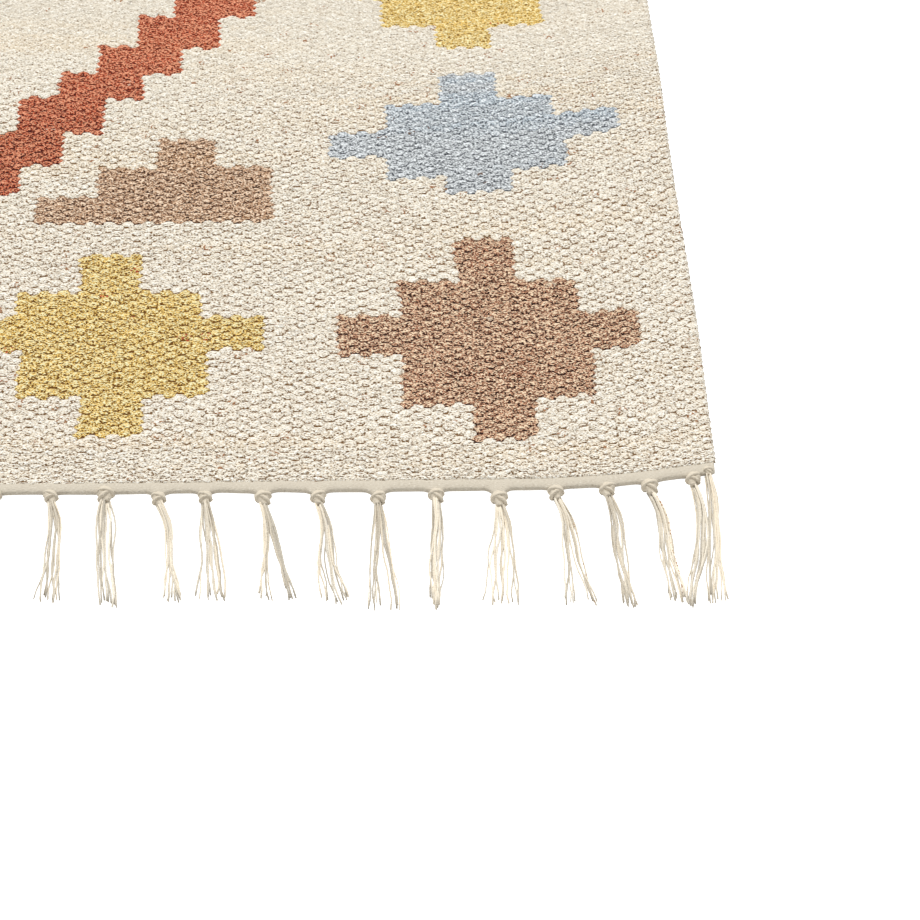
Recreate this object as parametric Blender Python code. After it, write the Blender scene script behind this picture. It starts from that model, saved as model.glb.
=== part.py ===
"""A flat-woven cotton rug, lying flat, with a knotted fringe across each end.

The warps run along Y and the wefts along X. The floor is at z = 0, under the middle of the rug.
"""
import math

import bmesh
import bpy
from mathutils import Vector

# Driving dimensions, in metres
WIDTH = 0.800
LENGTH = 1.200
THICKNESS = 0.0040
EDGE_ROUND = 0.0009
GAP = 0.0003
STEPS_ACROSS = 48
STEPS_ALONG = 60
WELD_REACH = 0.00001

# How far the rug is from a true rectangle
SELVAGE_DRAW = 0.0045
SELVAGE_WAVE = 0.0008
SELVAGE_WAVES = 5
CORNER_REACH = 0.100
CORNER_LIFTS = {"front_right": 0.0135, "front_left": 0.0080, "back_right": 0.0070, "back_left": 0.0095}

# The heading across each end, a smooth strip that gathers its warps into each tassel
HEADING_DEPTH = 0.0067
HEADING_THICKNESS = 0.0034
GATHER = 0.0062
GATHER_SHARE = 0.45
NECK = 0.0030

# A tassel: an overhand knot of warp ends, and the strands that leave it for the floor
KNOT_HALF_WIDTH = 0.0045
KNOT_HALF_DEPTH = 0.0036
KNOT_HEIGHT = 0.0060
KNOT_SIDES = 6
KNOT_RINGS = 4
KNOT_RIDGE = 0.10
KNOT_TWIST = 2.5
KNOT_SUNK = 0.94
STRAND_LENGTH = 0.081
STRAND_WIDTH = 0.0011
STRAND_HEIGHT = 0.0010
STRAND_TIP = 0.6
STRAND_ROOT_HEIGHT = 0.0022
STRAND_TOUCHDOWN = 0.013
STRAND_BOW = 1.3
TIP_STEP = 0.0012
STRANDS_EACH = 4
ROOT_PITCH = 0.0016
CORNER_TASSELS = 0.375

# The tassels of half an end, from the middle of the rug out to its corner, in millimetres:
# place across the rug, drop of the knot below the end of the weave, lean of the tip, spread of the tip
HALF_END = (
    (13.5, 10.5, 3.0, 12.0),
    (41.5, 9.5, -2.0, 10.0),
    (69.4, 10.4, 2.8, 11.5),
    (95.7, 9.0, 4.2, 10.0),
    (121.5, 13.0, 8.4, 10.0),
    (144.0, 12.4, 5.4, 15.0),
    (172.1, 13.3, 7.0, 15.0),
    (198.8, 13.3, 7.5, 14.0),
    (227.9, 14.2, 2.0, 15.0),
    (256.2, 12.7, -2.8, 8.0),
    (286.9, 16.0, -2.4, 15.0),
    (314.8, 11.6, 7.2, 15.0),
    (339.9, 11.5, 3.8, 8.0),
    (361.1, 12.6, 6.0, 9.0),
    (382.8, 10.8, -8.5, 7.0),
    (390.9, 6.5, -5.0, 8.0),
)
# The other half of an end takes its leans and spreads from other rows: first this row, then steps of so many
ORDER_STEP = 5
ORDER_START = 3

MATERIALS = {
    "rug_cloth": ("woven_cotton", (0.72, 0.65, 0.54), 0.92),
    "fringe_front": ("cotton_warp_front", (0.66, 0.60, 0.50), 0.90),
    "fringe_back": ("cotton_warp_back", (0.66, 0.60, 0.50), 0.90),
}


def clear_scene():
    for thing in list(bpy.data.objects):
        bpy.data.objects.remove(thing, do_unlink=True)


def new_collection(name):
    collection = bpy.data.collections.new(name)
    bpy.context.scene.collection.children.link(collection)
    return collection


def add_object(name, mesh, collection):
    thing = bpy.data.objects.new(name, mesh)
    collection.objects.link(thing)
    return thing


def paint(thing, name, colour, roughness):
    material = bpy.data.materials.new(name)
    material.use_nodes = True
    shader = material.node_tree.nodes["Principled BSDF"]
    shader.inputs["Base Color"].default_value = (*colour, 1.0)
    shader.inputs["Roughness"].default_value = roughness
    shader.inputs["Metallic"].default_value = 0.0
    thing.data.materials.append(material)


def selvage(side, y):
    """Half width of the rug at y: drawn in towards the ends, and a little wavy."""
    draw = SELVAGE_DRAW * abs(2 * y / LENGTH) ** 1.5
    wave = SELVAGE_WAVE * (1 - math.cos(2 * math.pi * SELVAGE_WAVES * y / LENGTH + (side < 0))) / 2
    return WIDTH / 2 - draw - wave


def weave_end(end, x):
    """Y of the end of the weave at x: end is -1 at the front and 1 at the back. The corners lift inwards."""
    corner = ("front_" if end < 0 else "back_") + ("right" if x > 0 else "left")
    along = max(0.0, (abs(x) - WIDTH / 2 + CORNER_REACH) / CORNER_REACH)
    return end * (LENGTH / 2 - CORNER_LIFTS[corner] * along ** 2)


def cloth_outline():
    """Points round the cloth, anticlockwise from the front left corner."""
    front_y = weave_end(-1, 0.0)
    points = []
    for i in range(STEPS_ACROSS + 1):
        x = (2 * i / STEPS_ACROSS - 1) * selvage(1 if 2 * i > STEPS_ACROSS else -1, front_y)
        points.append((x, weave_end(-1, x)))
    corners = [points[-1][1], weave_end(1, selvage(1, LENGTH / 2))]
    for i in range(1, STEPS_ALONG):
        y = corners[0] + (corners[1] - corners[0]) * i / STEPS_ALONG
        points.append((selvage(1, y), y))
    for i in range(STEPS_ACROSS + 1):
        x = (1 - 2 * i / STEPS_ACROSS) * selvage(1 if 2 * i < STEPS_ACROSS else -1, -front_y)
        points.append((x, weave_end(1, x)))
    corners = [points[-1][1], points[0][1]]
    for i in range(1, STEPS_ALONG):
        y = corners[0] + (corners[1] - corners[0]) * i / STEPS_ALONG
        points.append((-selvage(-1, y), y))
    return points


def slab(name, outline, thickness, collection):
    """A flat outline as a 2D curve, extruded to a slab that stands on the floor, as a closed mesh."""
    curve = bpy.data.curves.new(name + "_curve", "CURVE")
    curve.dimensions = "2D"
    curve.fill_mode = "BOTH"
    curve.extrude = thickness / 2
    spline = curve.splines.new("POLY")
    spline.points.add(len(outline) - 1)
    for point, (x, y) in zip(spline.points, outline):
        point.co = (x, y, 0.0, 1.0)
    spline.use_cyclic_u = True
    drawn = add_object(name + "_drawn", curve, collection)
    drawn.location.z = thickness / 2
    bpy.context.view_layer.update()
    graph = bpy.context.evaluated_depsgraph_get()
    mesh = bpy.data.meshes.new_from_object(drawn.evaluated_get(graph))
    mesh.transform(drawn.matrix_world)
    bpy.data.objects.remove(drawn, do_unlink=True)
    weld(mesh)
    return add_object(name, mesh, collection)


def weld(mesh):
    work = bmesh.new()
    work.from_mesh(mesh)
    bmesh.ops.remove_doubles(work, verts=work.verts, dist=WELD_REACH)
    bmesh.ops.recalc_face_normals(work, faces=work.faces)
    work.to_mesh(mesh)
    work.free()


def make_cloth(collection):
    """The woven cloth: one flat sheet with a small round along its upper edge."""
    cloth = slab("rug_cloth", cloth_outline(), THICKNESS, collection)
    work = bmesh.new()
    work.from_mesh(cloth.data)
    bmesh.ops.dissolve_limit(work, angle_limit=math.radians(1), verts=work.verts, edges=work.edges)
    rim = [e for e in work.edges
           if all(v.co.z > THICKNESS / 2 for v in e.verts) and len(e.link_faces) == 2
           and e.calc_face_angle(0.0) > math.radians(45)]
    bmesh.ops.bevel(work, geom=rim, offset=EDGE_ROUND, segments=1, affect="EDGES")
    work.to_mesh(cloth.data)
    work.free()
    return cloth


def tassels(end):
    """The tassels across one end: place, drop, lean and spread of each, in metres.

    The other half of the end has the same places, with the leans and spreads in another order. The outermost
    tassels lean inwards.
    """
    rows = []
    for i, row in enumerate(HALF_END):
        place, drop, lean, spread = [size / 1000 for size in row]
        rows.append([place, drop, lean, spread])
        lean, spread = [size / 1000 for size in HALF_END[(ORDER_STEP * i + ORDER_START) % len(HALF_END)][2:]]
        rows.append([-place, drop, abs(lean) if place > CORNER_TASSELS else lean, spread])
    if end > 0:
        rows = [[-place, drop, -lean, spread] for place, drop, lean, spread in rows]
    return sorted(rows)


def heading_outline(end, rows):
    """The heading strip: it follows the end of the weave, and gathers to a neck at each tassel's knot."""
    limit = selvage(1, LENGTH / 2)
    near = []
    for i in range(STEPS_ACROSS + 1):
        x = limit * (2 * i / STEPS_ACROSS - 1)
        near.append((x, weave_end(end, x) + end * GAP))
    rim = GAP + HEADING_DEPTH
    far = [(-limit, weave_end(end, -limit) + end * rim)]
    places = [-limit] + [row[0] for row in rows] + [limit]
    for before, (place, drop, _, _), after in zip(places, rows, places[2:]):
        left = min(GATHER, GATHER_SHARE * (place - before))
        right = min(GATHER, GATHER_SHARE * (after - place))
        far.append((place - left, weave_end(end, place - left) + end * rim))
        far.append((place - min(NECK, left), weave_end(end, place) + end * drop))
        far.append((place + min(NECK, right), weave_end(end, place) + end * drop))
        far.append((place + right, weave_end(end, place + right) + end * rim))
    far.append((limit, weave_end(end, limit) + end * rim))
    return near + far[::-1] if end > 0 else far + near[::-1]


def add_knot(work, x, y, index):
    """An overhand knot: a low lump with slanting ridges, flat where it lies on the floor."""
    made = bmesh.ops.create_uvsphere(work, u_segments=KNOT_SIDES, v_segments=KNOT_RINGS, radius=1.0)
    for vert in made["verts"]:
        turn = math.atan2(vert.co.y, vert.co.x)
        ridge = 1 + KNOT_RIDGE * math.cos(2 * turn + KNOT_TWIST * vert.co.z + index)
        vert.co.x = x + vert.co.x * KNOT_HALF_WIDTH * ridge
        vert.co.y = y + vert.co.y * KNOT_HALF_DEPTH * ridge
        vert.co.z = max(0.0, (KNOT_SUNK + vert.co.z) * KNOT_HEIGHT / (1 + KNOT_SUNK))


def strand_section(x, y, z, width, height):
    """A three-sided section that stands on its base."""
    return [Vector((x - width / 2, y, z)), Vector((x + width / 2, y, z)), Vector((x, y, z + height))]


def add_strand(work, end, knot, root, tip, index):
    """One strand, lofted from inside its knot down to the floor and along it to its tip."""
    x, y = knot
    stations = ((0.0, STRAND_ROOT_HEIGHT, 1.0), (STRAND_TOUCHDOWN, 0.0, 1.0),
                (0.5 * STRAND_LENGTH, 0.0, 1.0), (STRAND_LENGTH - TIP_STEP * (index % 4), 0.0, STRAND_TIP))
    rings = []
    for along, height, size in stations:
        share = along / STRAND_LENGTH
        place = x + root + (tip - root) * share ** STRAND_BOW
        section = strand_section(place, y + end * along, height, STRAND_WIDTH * size, STRAND_HEIGHT * size)
        rings.append([work.verts.new(point) for point in section])
    for first, second in zip(rings, rings[1:]):
        for k in range(3):
            work.faces.new((first[k], first[(k + 1) % 3], second[(k + 1) % 3], second[k]))
    work.faces.new(rings[0])
    work.faces.new(rings[-1][::-1])


def make_tassels(name, end, rows, collection):
    """All knots and strands of one end, as one object of overlapping closed shapes."""
    work = bmesh.new()
    for index, (place, drop, lean, spread) in enumerate(rows):
        knot = (place, weave_end(end, place) + end * drop)
        add_knot(work, *knot, index)
        count = STRANDS_EACH if abs(place) > CORNER_TASSELS else STRANDS_EACH + index % 2
        for k in range(count):
            share = k / (count - 1) - 0.5
            root = share * ROOT_PITCH * (count - 1)
            add_strand(work, end, knot, root, lean + share * spread, index + 3 * k)
    bmesh.ops.recalc_face_normals(work, faces=work.faces)
    mesh = bpy.data.meshes.new(name)
    work.to_mesh(mesh)
    work.free()
    return add_object(name, mesh, collection)


def make_fringe(name, end, collection, guides):
    """A finished end: its heading strip, with every knot and strand fused into it."""
    rows = tassels(end)
    fringe = slab(name, heading_outline(end, rows), HEADING_THICKNESS, collection)
    ends = make_tassels(name + "_tassels", end, rows, guides)
    ends.hide_render = True
    ends.display_type = "WIRE"
    union = fringe.modifiers.new("fuse_tassels", "BOOLEAN")
    union.operation = "UNION"
    union.solver = "EXACT"
    union.use_self = True
    union.object = ends
    return fringe


def main():
    clear_scene()
    rug = new_collection("cotton_rug")
    guides = new_collection("rug_cutters")
    made = [make_cloth(rug)]
    made.append(make_fringe("fringe_front", -1, rug, guides))
    made.append(make_fringe("fringe_back", 1, rug, guides))
    for thing in made:
        paint(thing, *MATERIALS[thing.name])


main()
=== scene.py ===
# %% [markdown]
# # A flat-woven cotton rug
# The rug is a weft-faced plain weave: thick soft cotton wefts pass over one warp and under the next, and
# are beaten down so hard that no warp shows. What the eye sees is a field of small almond-shaped lumps,
# each one the back of a weft where it crosses a warp. The motifs are woven in with dyed wefts, so a colour
# can only change from one lump to the next, and that is why every upright edge looks like a comb. At each
# end the warps are gathered in a smooth heading and knotted into tassels.

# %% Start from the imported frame
import math

import bpy
import numpy as np
from mathutils import Matrix


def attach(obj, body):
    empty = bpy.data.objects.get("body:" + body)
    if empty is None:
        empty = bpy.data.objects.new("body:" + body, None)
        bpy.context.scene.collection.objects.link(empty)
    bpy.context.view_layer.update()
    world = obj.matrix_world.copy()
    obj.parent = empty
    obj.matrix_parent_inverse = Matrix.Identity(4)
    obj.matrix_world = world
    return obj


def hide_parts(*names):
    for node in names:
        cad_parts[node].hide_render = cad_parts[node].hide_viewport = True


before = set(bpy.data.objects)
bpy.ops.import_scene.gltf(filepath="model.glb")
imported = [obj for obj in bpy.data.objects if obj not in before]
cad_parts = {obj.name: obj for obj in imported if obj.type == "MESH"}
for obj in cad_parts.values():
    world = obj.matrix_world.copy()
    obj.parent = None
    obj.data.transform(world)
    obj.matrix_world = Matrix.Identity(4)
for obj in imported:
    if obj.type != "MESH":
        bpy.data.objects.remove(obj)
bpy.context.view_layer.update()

# %% [markdown]
# ## The camera
# The picture shows one corner of the rug, from a standing height and with a long lens. A camera is a place
# and a direction. Three angles are turned into the camera's own axes: right, up and backwards.

# %% Camera
PICTURE = 920
FOCAL_PIXELS = 3443.3
SENSOR = 36.0
CAMERA_PLACE = (0.1975, -1.9371, 1.0286)
LOOK_DOWN = math.radians(37.133)
LOOK_RIGHT = math.radians(3.025)
ROLL = math.radians(1.269)


def add_camera():
    """Its axes come from the angles: the way ahead first, then level and upright ones, turned by the roll."""
    ahead = np.array([math.sin(LOOK_RIGHT) * math.cos(LOOK_DOWN), math.cos(LOOK_RIGHT) * math.cos(LOOK_DOWN),
                      -math.sin(LOOK_DOWN)])
    level = np.array([math.cos(LOOK_RIGHT), -math.sin(LOOK_RIGHT), 0.0])
    upright = np.cross(level, ahead)
    axes = np.eye(4)
    axes[:3, 0] = math.cos(ROLL) * level + math.sin(ROLL) * upright
    axes[:3, 1] = math.cos(ROLL) * upright - math.sin(ROLL) * level
    axes[:3, 2] = -ahead
    axes[:3, 3] = CAMERA_PLACE
    lens = bpy.data.cameras.new("camera")
    lens.sensor_width = SENSOR
    lens.lens = SENSOR * FOCAL_PIXELS / PICTURE
    lens.clip_end = 50.0
    made = bpy.data.objects.new("camera", lens)
    made.matrix_world = Matrix(axes.tolist())
    bpy.context.scene.collection.objects.link(made)
    bpy.context.scene.camera = made
    return made


camera = add_camera()
print("a lens of", round(camera.data.lens, 1), "mm")

# %% [markdown]
# ## Where each warp and pick lies
# A weaver counts in warps and picks. A pick is one pass of the weft. Here s is a place across the rug in
# warps from the middle, and t a place along it in picks from the front end. On the real rug the picks are
# beaten a little unevenly, the edges draw in, the corners lift, and the rows swell in soft waves. So one
# function turns s and t into metres, and all that is woven goes through it.

# %% Plan of the weave
WARPS = 150
PICKS = 393
WIDTH = 0.800
LENGTH = 1.200
SELVAGE_DRAW = 0.0045
SELVAGE_WAVE = 0.0008
SELVAGE_WAVES = 5
CORNER_REACH = 0.100
CORNER_LIFTS = {(-1, 1): 0.0135, (-1, -1): 0.0080, (1, 1): 0.0070, (1, -1): 0.0095}

# How hard the picks were beaten: a pick's number, and its share of the rug's length
BEAT_PICKS = (0, 13, 61, 96, 149, 199, 239, 287, 329, 380, 393)
BEAT_SHARES = (0.0, 0.0232, 0.1565, 0.2398, 0.3732, 0.5023, 0.6023, 0.7315, 0.8398, 0.9755, 1.0)

# Soft swells of the rows: place in warps and picks, reach in warps and picks, then lift and sideways shift in
# metres
SWELLS = (
    (80, 96, 20, 24, 0.033, 0.0),
    (0, 132, 14, 18, 0.007, 0.0),
    (54, 40, 15, 25, 0.0, 0.006),
    (-60, 154, 22, 30, -0.012, 0.0),
    (30, 254, 26, 30, 0.009, 0.0),
    (-78, 294, 20, 26, 0.014, 0.0),
    (70, 334, 20, 22, -0.009, 0.0),
    (62, 58, 12, 9, -0.008, 0.0),
    (66, 20, 11, 9, 0.010, 0.0),
)


def selvage(side, y):
    """Half width at y: less by the power 1.5 of the share of the way to the end, and by a small wave."""
    draw = SELVAGE_DRAW * np.abs(2 * y / LENGTH) ** 1.5
    wave = SELVAGE_WAVE * (1 - np.cos(2 * math.pi * SELVAGE_WAVES * y / LENGTH + (side < 0))) / 2
    return WIDTH / 2 - draw - wave


def weave_end(end, x):
    """Y of the end of the weave at x: straight, and rising with the square of the way into the corner."""
    lift = np.where(x > 0, CORNER_LIFTS[(end, 1)], CORNER_LIFTS[(end, -1)])
    into = np.maximum(0.0, (np.abs(x) - WIDTH / 2 + CORNER_REACH) / CORNER_REACH)
    return end * (LENGTH / 2 - lift * into ** 2)


def place(s, t):
    """x is a share of the half width. y goes from end to end of the weave by the beat, plus the swells."""
    share = np.interp(t, BEAT_PICKS, BEAT_SHARES)
    x = s / (WARPS / 2) * selvage(np.sign(s), LENGTH * (share - 0.5))
    y = weave_end(-1, x) + (weave_end(1, x) - weave_end(-1, x)) * share
    still = 1 - np.abs(s / (WARPS / 2)) ** 6
    for at_s, at_t, reach_s, reach_t, lift, sideways in SWELLS:
        swell = np.exp(-((s - at_s) / reach_s) ** 2 / 2 - ((t - at_t) / reach_t) ** 2 / 2)
        y = y + swell * lift
        x = x + swell * sideways * still
    return x, y


print("warp pitch", round(1000 * WIDTH / WARPS, 2), "mm, pick pitch", round(1000 * LENGTH / PICKS, 2), "mm")

# %% [markdown]
# ## The chart
# A weaver works from a chart. The motifs are old ones: a stepped cross of five blocks, repeated round the
# border, and a stepped medallion that is drawn as a band in the middle. Each block is given by its warps
# and its picks. The hidden quarters mirror the one that shows, and the yarns of their crosses are guessed.

# %% Chart of the motifs
YARNS = ("ecru", "terracotta", "brown", "taupe", "mustard", "blue")
CROSS_HALVES = (3, 9, 15, 9, 3)

# Crosses along the front end and the right selvage: yarn, middle warp, the picks where its blocks meet, and
# each block's shift in warps. The picture shows the first two of each list, whole or in part. The others are
# guessed
FRONT_CROSSES = (
    ("brown", 54, (13, 22, 36, 47, 57, 68), (1, 0.5, 0, 0, 0)),
    ("mustard", 18, (16, 26, 38, 47, 54, 65), (0, 0, -1, -1, -1)),
    ("blue", -18, (14, 24, 35, 45, 55, 65), (0, 0, 0, 0, 0)),
    ("brown", -54, (14, 24, 34, 45, 55, 65), (0, 0, 0, 0, 0)),
)
RIGHT_CROSSES = (
    ("blue", 54, (82, 88, 97, 106, 115, 126), (0.5, 0.5, 0.5, 0, 0)),
    ("mustard", 54, (137, 146, 157, 168, 179, 190), (0, 0, 0, 0, 0)),
    ("brown", 54, (203, 214, 225, 236, 247, 256), (0, 0, 0, 0, 0)),
    ("blue", 54, (269, 278, 287, 297, 306, 314), (0, 0, 0, 0, 0)),
)
LEFT_YARNS = ("mustard", "blue", "brown", "mustard")
BACK_YARNS = ("brown", "blue", "brown", "mustard")

# The medallion's band: the picks where its rows meet. It grows by 4 warps a row, and is 9 warps wide
BAND_PICKS = (74, 86, 96, 107, 119, 128, 138, 150, 161)
BAND_STEP = 4
BAND_START = 3
BAND_WIDE = 9

# A stepped half pyramid in each corner of the field: first warp, last warp, first pick, last pick
PYRAMID = ((9, 33, 76, 85), (15, 33, 85, 95), (21, 27, 95, 105))


def all_blocks():
    """Every block of the chart as (yarn, first warp, last warp, first pick, last pick)."""
    crosses = list(FRONT_CROSSES) + list(RIGHT_CROSSES)
    for (yarn, middle, picks, shifts), other in zip(RIGHT_CROSSES, LEFT_YARNS):
        crosses.append((other, -middle, picks, shifts))
    for (yarn, middle, picks, shifts), other in zip(FRONT_CROSSES, BACK_YARNS):
        crosses.append((other, middle, tuple(PICKS - pick for pick in picks[::-1]), shifts[::-1]))
    blocks = []
    for yarn, middle, picks, shifts in crosses:
        for half, shift, low, high in zip(CROSS_HALVES, shifts, picks, picks[1:]):
            blocks.append((yarn, middle + shift - half, middle + shift + half, low, high))
    rows = list(zip(BAND_PICKS, BAND_PICKS[1:])) + [(BAND_PICKS[-1], PICKS - BAND_PICKS[-1])]
    for step, (low, high) in enumerate(rows):
        outer = BAND_START + BAND_STEP * step
        inner = max(0, outer - BAND_WIDE)
        for side in (-1, 1):
            left, right = sorted((side * inner, side * outer))
            blocks.append(("terracotta", left, right, low, high))
            blocks.append(("terracotta", left, right, PICKS - high, PICKS - low))
    for left, right, low, high in PYRAMID:
        for first, last in ((left, right), (-right, -left)):
            blocks.append(("taupe", first, last, low, high))
            blocks.append(("taupe", first, last, PICKS - high, PICKS - low))
    return blocks


def read_chart():
    """The yarn of each lump, as a table of picks by warps, with a spare row or column all round."""
    s = np.arange(-1, WARPS + 1) + 0.5 - WARPS / 2
    t = np.arange(-1, PICKS + 1) + 0.5
    chart = np.zeros((PICKS + 2, WARPS + 2), np.int32)
    near = 0.01
    for yarn, left, right, low, high in all_blocks():
        across = (s > left - near) & (s < right + near)
        along = (t > low) & (t < high)
        chart[np.ix_(along, across)] = YARNS.index(yarn)
    return chart


CHART = read_chart()
print(len(all_blocks()), "blocks; crossings of each yarn:", np.bincount(CHART.ravel()).tolist())

# %% [markdown]
# ## Uneven yarn
# Hand-spun looking cotton is never even: it swells and thins along its length, dyes take unevenly from pick
# to pick, and the beater pushes the rows about. All of this is noise of different reach. A smooth noise is
# a coarse table of random numbers that is read between its points.

# %% Noise tables
RANDOM = np.random.default_rng(11)


def soft_noise(s, t, reach_s, reach_t):
    """Random heights from -1 to 1 on a coarse grid, joined by smooth steps, read at s and t."""
    u = (np.asarray(s, float) + WARPS) / reach_s
    v = (np.asarray(t, float) + WARPS) / reach_t
    table = RANDOM.uniform(-1, 1, (int(v.max()) + 3, int(u.max()) + 3))
    i, j = np.floor(u).astype(int), np.floor(v).astype(int)
    a, b = u - i, v - j
    a, b = a * a * (3 - 2 * a), b * b * (3 - 2 * b)
    low = table[j, i] * (1 - a) + table[j, i + 1] * a
    high = table[j + 1, i] * (1 - a) + table[j + 1, i + 1] * a
    return low * (1 - b) + high * b


def lump_tables():
    """For each lump: its thickness, tilt, tone and warmth, and a chance for stray fibres."""
    s, t = np.meshgrid(np.arange(WARPS + 2) - WARPS / 2, np.arange(PICKS + 2))
    thick = 0.5 * soft_noise(s, t, 9, 1) + 0.7 * RANDOM.uniform(-1, 1, s.shape)
    tilt = 0.4 * soft_noise(s, t, 6, 5) + 0.8 * RANDOM.uniform(-1, 1, s.shape)
    tone = 0.5 * soft_noise(s, t, 9, 1) + 0.35 * soft_noise(s, t, 45, 4)
    tone = tone + 0.4 * RANDOM.uniform(-1, 1, s.shape)
    warm = np.clip(0.6 * soft_noise(s, t, 30, 2) + 0.6 * soft_noise(s, t, 50, 9), 0, 1)
    chance = RANDOM.uniform(0, 1, s.shape)
    return thick, tilt, tone, warm, chance


THICK, TILT, TONE, WARM, CHANCE = lump_tables()
print("tone of the lumps, spread", round(float(TONE.std()), 2))

# %% [markdown]
# ## The lumps as a surface
# The upper face is one grid, two points to a warp and two to a pick. With i for the warp and j for the
# pick, a weft passes over the warp where i + j is even. The middle of such a crossing is the top of a lump.
# Where i + j is odd the weft dives, and four lumps come close: the two of the same pick end there, and
# those of the picks above and below meet between them in a short crease. So the middle of such a crossing
# has two points, one at each end of that crease, and each lump gets six sides. Every triangle belongs to
# one lump and takes that lump's yarn. The crease edges are sharp, and everything else is smooth.

# %% Upper face
ACROSS = 2 * WARPS + 1
ALONG = 2 * PICKS + 1
DIP_Z = 0.0028
TOP_Z = 0.0038
TOP_RISE = 1.0
SIDE_RISE = 0.70
CREST_RISE = 0.84
CREASE_RISE = 0.30
DIP_RISE = 0.04
DIP_HALF = 0.30
SLANT = 0.06
TILT_SHARE = 0.16
POINT_JITTER = 0.14
ROW_WANDER = 0.44
SIDE_WANDER = 0.20
THICK_SHARE = 0.26
POINT_RISE = 0.13
LOWEST = -0.1

# The cloth is flatter and smoother towards the middle of the rug: the picks where that starts and ends, and
# how much
SMOOTH_FROM, SMOOTH_TO, SMOOTH_SHARE = 90, 185, 0.54


def smoothness(t):
    """0 near the ends of the rug, and a smooth step up to the full share towards its middle."""
    step = np.clip((np.minimum(t, PICKS - t) - SMOOTH_FROM) / (SMOOTH_TO - SMOOTH_FROM), 0, 1)
    return SMOOTH_SHARE * step * step * (3 - 2 * step)


def owner_of_points(k, l):
    """The warp and pick of the lump that a grid point lies on: the even crossing of those that it touches."""
    i, j = k // 2, l // 2
    i_left = np.where((k % 2 == 0) & (l % 2 == 1) & ((i + j) % 2 == 1), i - 1, i)
    j_low = np.where((k % 2 == 1) & (l % 2 == 0) & ((i + j) % 2 == 1), j - 1, j)
    return i_left, j_low


def upper_grid():
    """Half steps of all points, how far each stands aside, and the number of each dive's second point."""
    k, l = [values.ravel() for values in np.meshgrid(np.arange(ACROSS), np.arange(ALONG))]
    dives = (k % 2 == 1) & (l % 2 == 1) & ((k // 2 + l // 2) % 2 == 1)
    beside = np.concatenate([np.where(dives, -DIP_HALF, 0.0), np.full(dives.sum(), DIP_HALF)])
    second = np.full(len(k), -1)
    second[dives] = len(k) + np.arange(dives.sum())
    return np.concatenate([k, k[dives]]), np.concatenate([l, l[dives]]), beside, second.reshape(ALONG, ACROSS)


def upper_points():
    """x, y and z of the points, and how high each is on its lump, from 0 in a dip to 1 on top.

    A side point of a lump goes up or down the cloth by the lump's tilt, and all points wander by soft noise.
    """
    k, l = HALF_WARP, HALF_PICK
    i, j = owner_of_points(k, l)
    odd_k, odd_l = k % 2 == 1, l % 2 == 1
    even = (i + j) % 2 == 0
    kinds = [odd_k & odd_l & even, odd_k & odd_l, odd_k, odd_l]
    rise = np.select(kinds, [TOP_RISE, DIP_RISE, CREST_RISE, SIDE_RISE], CREASE_RISE)
    s, t = k / 2 - WARPS / 2 + BESIDE, l / 2.0
    side = np.where(~odd_k & odd_l, np.where(i == k // 2, -1.0, 1.0), 0.0)
    wander = 0.6 * soft_noise(s, t, 3, 2.5) + 0.6 * soft_noise(s, t, 15, 8)
    jitter = POINT_JITTER * RANDOM.uniform(-1, 1, (2, len(k)))
    t_moved = t + (SLANT + TILT_SHARE * TILT[j + 1, i + 1]) * side + ROW_WANDER * wander + jitter[0]
    s_moved = s + SIDE_WANDER * soft_noise(s, t, 4, 3) + jitter[1]
    s_moved = np.where((k == 0) | (k == ACROSS - 1), s, s_moved)
    t_moved = np.where((l == 0) | (l == ALONG - 1), t, t_moved)
    t_moved = np.clip(t_moved, 0, PICKS)
    thick = THICK_SHARE * THICK[j + 1, i + 1] * np.where(rise > 0.5, rise, 0.0)
    level = rise + thick + POINT_RISE * RANDOM.uniform(-1, 1, len(k))
    level = TOP_RISE + (level - TOP_RISE) * (1 - smoothness(t))
    x, y = place(s_moved, t_moved)
    z = DIP_Z + (TOP_Z - DIP_Z) * np.maximum(level, LOWEST)
    return np.stack([x, y, z], 1), np.clip(level, 0, 1)


def upper_faces():
    """Triangles as point numbers, with the warp and pick of the lump that each belongs to.

    A top is the middle of a fan of eight. A dive has two triangles for each of the lumps at its sides, and
    three for each of those above and below.
    """
    i, j = [values.ravel() for values in np.meshgrid(np.arange(WARPS), np.arange(PICKS))]
    corner = 2 * j * ACROSS + 2 * i
    sw, s, se = corner, corner + 1, corner + 2
    w, c, e = sw + ACROSS, s + ACROSS, se + ACROSS
    nw, n, ne = w + ACROSS, c + ACROSS, e + ACROSS
    x = SECOND[2 * j + 1, 2 * i + 1]
    top, dive = (i + j) % 2 == 0, (i + j) % 2 == 1
    fan = [(c, sw, s), (c, s, se), (c, se, e), (c, e, ne), (c, ne, n), (c, n, nw), (c, nw, w), (c, w, sw)]
    meeting = [((w, sw, c), -1, 0), ((w, c, nw), -1, 0), ((e, x, se), 1, 0), ((e, ne, x), 1, 0),
               ((c, x, n), 0, 1), ((c, n, nw), 0, 1), ((x, ne, n), 0, 1),
               ((x, c, s), 0, -1), ((c, sw, s), 0, -1), ((x, s, se), 0, -1)]
    groups = [(top, points, 0, 0) for points in fan] + [(dive, *row) for row in meeting]
    faces, warps, picks = [], [], []
    for chosen, points, i_step, j_step in groups:
        faces.append(np.stack([number[chosen] for number in points], 1))
        warps.append(i[chosen] + i_step)
        picks.append(j[chosen] + j_step)
    return np.concatenate(faces), np.concatenate(warps), np.concatenate(picks)


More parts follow.
